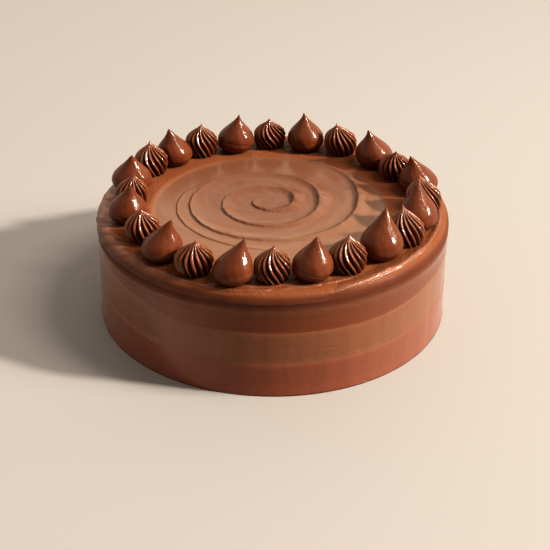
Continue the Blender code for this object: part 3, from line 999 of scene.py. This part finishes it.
def frosting_tint(tree, marks):
    """The frosting's colour by the part of the cake that it is on, with painted light in it: shade on the
    lip, in streaks down the wall and in pits, a light line in the crease, reflections in the bands and
    sheen on the disc.
    """
    colour = mix_colours(tree, marks.patches, LEDGE_DARK, LEDGE_COLOUR)
    for start, end, tint in BAND_PAINTED_TINTS:
        colour = mix_colours(tree, rescale(tree, marks.band, start, end), colour, tint)
    # Streaks of painted shade down the wall, standing in for its streaky reflections
    shade = rescale(tree, marks.upright_streaks, *SHADE_RANGE, 0.0, WALL_STREAK_PAINTED_SHADE)
    colour = mix_colours(tree, times(tree, shade, marks.on_wall), colour, PAINTED_SHADE_COLOUR)
    # The disc, with its painted sheen
    colour = mix_colours(tree, marks.disc, colour, disc_tint_with_sheen(tree, marks.place))
    # Painted shade in the pits
    return mix_colours(tree, times(tree, marks.specks, PIT_PAINTED_SHADE), colour, PAINTED_SHADE_COLOUR)


def frosting_roughness(tree, marks):
    """The roughness under the coat, a little uneven on every part."""
    return total_of(
        tree, WALL_ROUGHNESS,
        times(tree, marks.disc, DISC_ROUGHNESS - WALL_ROUGHNESS),
        times(tree, marks.on_ledge, LEDGE_ROUGHNESS - WALL_ROUGHNESS),
        rescale(tree, marks.patches, *PATTERN_RANGE, -PATCH_ROUGHNESS, PATCH_ROUGHNESS),
        rescale(tree, marks.upright_streaks, *PATTERN_RANGE, -STREAK_ROUGHNESS, STREAK_ROUGHNESS))


def frosting_coat(tree, marks):
    """The weight of the coat: what the surface carries, and glossy streaks on the disc."""
    disc_gloss = rescale(tree, marks.disc_streaks, *DISC_STREAK_RANGE, DISC_COAT, DISC_STREAK_COAT)
    return total_of(tree, marks.gloss, times(tree, marks.disc, disc_gloss))


def frosting_height(tree, marks):
    """The height of the grain, ripple, streaks, scratches, smears, lumps and pits."""
    place = marks.place
    wall_streaks = streaks(tree, place, CAKE_MIDDLE, *WALL_STREAKS)
    scratches = rescale(tree, streaks(tree, place, CAKE_MIDDLE, *SCRATCHES), *SCRATCH_RANGE)
    smear_patches = rescale(tree, mottle(tree, place, SMEAR_PATCH_SCALE), *SMEAR_RANGE)
    on_trails = times(tree, rescale(tree, marks.gloss, *TRAIL_LUMP_RANGE), marks.on_ledge)
    return total_of(
        tree,
        times(tree, mottle(tree, place, GRAIN_SCALE, GRAIN_DETAIL), GRAIN_HEIGHT),
        times(tree, mottle(tree, place, RIPPLE_SCALE), marks.off_disc, RIPPLE_HEIGHT),
        times(tree, wall_streaks, marks.on_wall, WALL_STREAK_HEIGHT),
        times(tree, marks.upright_streaks, marks.on_wall, UPRIGHT_STREAK_HEIGHT),
        times(tree, scratches, marks.on_wall, SCRATCH_HEIGHT),
        times(tree, marks.disc_streaks, marks.disc, DISC_STREAK_HEIGHT),
        times(tree, smear_patches, mottle(tree, place, SMEAR_SCALE), marks.on_ledge, SMEAR_HEIGHT),
        times(tree, on_trails, mottle(tree, place, TRAIL_LUMP_SCALE), TRAIL_LUMP_HEIGHT),
        times(tree, marks.specks, -PIT_DEPTH))


def frosting_material(name, specular, coat_roughness):
    """Frosting whose tint, gloss and marks follow the values that the surface carries."""
    material, tree = new_material(name)
    shader = tree.nodes["Principled BSDF"]
    marks = frosting_marks(tree)
    tree.links.new(frosting_tint(tree, marks), shader.inputs["Base Color"])
    tree.links.new(frosting_roughness(tree, marks), shader.inputs["Roughness"])
    tree.links.new(frosting_coat(tree, marks), shader.inputs["Coat Weight"])
    shader.inputs["Specular IOR Level"].default_value = specular
    shader.inputs["Coat Roughness"].default_value = coat_roughness
    set_bump(tree, shader, frosting_height(tree, marks))
    return material


def piped_material(name, dark, pale, roughness, coat_roughness):
    """What the peaks' materials share, and a colour in patches of two tones for them to link."""
    material, tree = new_material(name)
    shader = tree.nodes["Principled BSDF"]
    place = object_place(tree)
    patches = mottle(tree, place, PIPED_PATCH_SCALE)
    colour = mix_colours(tree, rescale(tree, patches, *PATTERN_RANGE), dark, pale)
    uneven_roughness = rescale(tree, patches, *PATTERN_RANGE, roughness - PIPED_PATCH_ROUGHNESS,
                               roughness + PIPED_PATCH_ROUGHNESS)
    tree.links.new(uneven_roughness, shader.inputs["Roughness"])
    shader.inputs["Specular IOR Level"].default_value = PIPED_SPECULAR
    shader.inputs["Coat Roughness"].default_value = coat_roughness
    return material, tree, shader, place, colour


def piped_unevenness(tree, place):
    """The grain and ripple of every piped peak."""
    return total_of(tree, times(tree, mottle(tree, place, PIPED_GRAIN_SCALE), PIPED_GRAIN_HEIGHT),
                    times(tree, mottle(tree, place, PIPED_RIPPLE_SCALE), PIPED_RIPPLE_HEIGHT))


def drop_material():
    """The glossy chocolate of the plain peaks."""
    material, tree, shader, place, colour = piped_material(
        "piped_plain", DROP_DARK, DROP_COLOUR, DROP_ROUGHNESS, DROP_COAT_ROUGHNESS)
    tree.links.new(colour, shader.inputs["Base Color"])
    shader.inputs["Coat Weight"].default_value = DROP_COAT
    set_bump(tree, shader, piped_unevenness(tree, place))
    return material


def star_material():
    """The chocolate of the starred peaks, with painted shade in the grooves, and glossy on the ridges."""
    material, tree, shader, place, colour = piped_material(
        "piped_starred", STAR_DARK, STAR_COLOUR, STAR_ROUGHNESS, STAR_COAT_ROUGHNESS)
    depth = surface_mask(tree, "groove")
    # Painted shade darkens the grooves
    groove = rescale(tree, depth, *GROOVE_SHADE_RANGE, smooth=True)
    colour = mix_colours(tree, groove, colour, STAR_GROOVE_PAINTED_SHADE)
    tree.links.new(colour, shader.inputs["Base Color"])
    coat = rescale(tree, depth, *GROOVE_COAT_RANGE, STAR_COAT, STAR_GROOVE_COAT)
    tree.links.new(coat, shader.inputs["Coat Weight"])
    lumps = times(tree, mottle(tree, place, STAR_LUMP_SCALE, STAR_LUMP_DETAIL), STAR_LUMP_HEIGHT)
    set_bump(tree, shader, total_of(tree, piped_unevenness(tree, place), lumps))
    return material


# Stage, light and camera

def make_stage():
    """A pale round floor, out to the horizon."""
    points = [(0.0, 0.0, 0.0)]
    for i in range(STAGE_STEPS):
        angle = 2.0 * math.pi * i / STAGE_STEPS
        points.append((STAGE_RADIUS * math.cos(angle), STAGE_RADIUS * math.sin(angle), 0.0))
    faces = [(0, 1 + i, 1 + (i + 1) % STAGE_STEPS) for i in range(STAGE_STEPS)]
    stage = mesh_object("stage", points, faces)
    material, tree = new_material("stage")
    shader = tree.nodes["Principled BSDF"]
    shader.inputs["Base Color"].default_value = (*STAGE_COLOUR, 1.0)
    shader.inputs["Roughness"].default_value = STAGE_ROUGHNESS
    stage.data.materials.append(material)


def make_light():
    """A room brighter at the back and left, and a low sun and soft panels on the right."""
    world = bpy.data.worlds.new("room")
    world.use_nodes = True
    tree = world.node_tree
    parts = tree.nodes.new("ShaderNodeSeparateXYZ")
    tree.links.new(tree.nodes.new("ShaderNodeTexCoord").outputs["Generated"], parts.inputs[0])
    towards_back = rescale(tree, parts.outputs["Y"], *ROOM_BACK_RANGE, smooth=True)
    towards_left = rescale(tree, parts.outputs["X"], *ROOM_LEFT_RANGE, smooth=True)
    towards_top = rescale(tree, parts.outputs["Z"], *ROOM_TOP_RANGE, smooth=True)
    colour = mix_colours(tree, towards_back, ROOM_FRONT_COLOUR, ROOM_BACK_COLOUR)
    colour = mix_colours(tree, towards_left, colour, ROOM_LEFT_COLOUR)
    colour = mix_colours(tree, towards_top, colour, ROOM_TOP_COLOUR)
    tree.links.new(colour, tree.nodes["Background"].inputs["Color"])
    bpy.context.scene.world = world
    key = add_light("key", "SUN", KEY_ELEVATION, KEY_STRENGTH)
    key.angle = math.radians(KEY_ANGLE)
    for name, elevation, width, height, power in PANELS:
        panel = add_light(name, "AREA", elevation, power)
        panel.shape = "RECTANGLE"
        panel.size = width
        panel.size_y = height


def add_light(name, kind, elevation_degrees, energy):
    """A light on the cake's right, turned towards its middle."""
    light = bpy.data.lights.new(name, kind)
    light.color = KEY_COLOUR
    light.energy = energy
    azimuth, elevation = math.radians(KEY_AZIMUTH), math.radians(elevation_degrees)
    towards = Vector((math.cos(azimuth) * math.cos(elevation),
                      math.sin(azimuth) * math.cos(elevation), math.sin(elevation)))
    lamp = bpy.data.objects.new(name, light)
    lamp.location = towards * PANEL_DISTANCE
    lamp.rotation_euler = towards.to_track_quat("Z", "Y").to_euler()
    bpy.context.scene.collection.objects.link(lamp)
    return light


def make_camera():
    """The camera in front of the cake and above it, as in the photograph."""
    data = bpy.data.cameras.new("camera")
    data.sensor_width = SENSOR_WIDTH_MM
    data.lens = FOCAL_LENGTH_PIXELS / IMAGE_SIZE * SENSOR_WIDTH_MM
    data.clip_start, data.clip_end = CAMERA_CLIP
    camera = bpy.data.objects.new("camera", data)
    elevation = math.radians(CAMERA_ELEVATION)
    back = Vector((0.0, -math.cos(elevation), math.sin(elevation)))
    camera.location = Vector(CAMERA_TARGET) + back * CAMERA_DISTANCE
    roll = Matrix.Rotation(math.radians(CAMERA_ROLL), 3, back)
    facing = (-back).to_track_quat("-Z", "Y").to_matrix()
    camera.rotation_euler = (roll @ facing).to_euler()
    bpy.context.scene.collection.objects.link(camera)
    bpy.context.scene.camera = camera


def main():
    """Build the scene round the frame."""
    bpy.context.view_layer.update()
    bpy.context.scene.view_settings.view_transform = "Standard"
    bpy.context.scene.view_settings.look = "High Contrast"
    make_camera()
    make_light()
    make_stage()
    top_frosting = frosting_material("frosting_top", TOP_SPECULAR, TOP_COAT_ROUGHNESS)
    wall_frosting = frosting_material("frosting_wall", WALL_SPECULAR, WALL_COAT_ROUGHNESS)
    make_top(top_frosting)
    make_rim_and_wall(top_frosting, wall_frosting)
    plain = drop_material()
    starred = star_material()
    for index in range(len(PEAKS)):
        make_peak(index, starred if index % 2 else plain)


main()
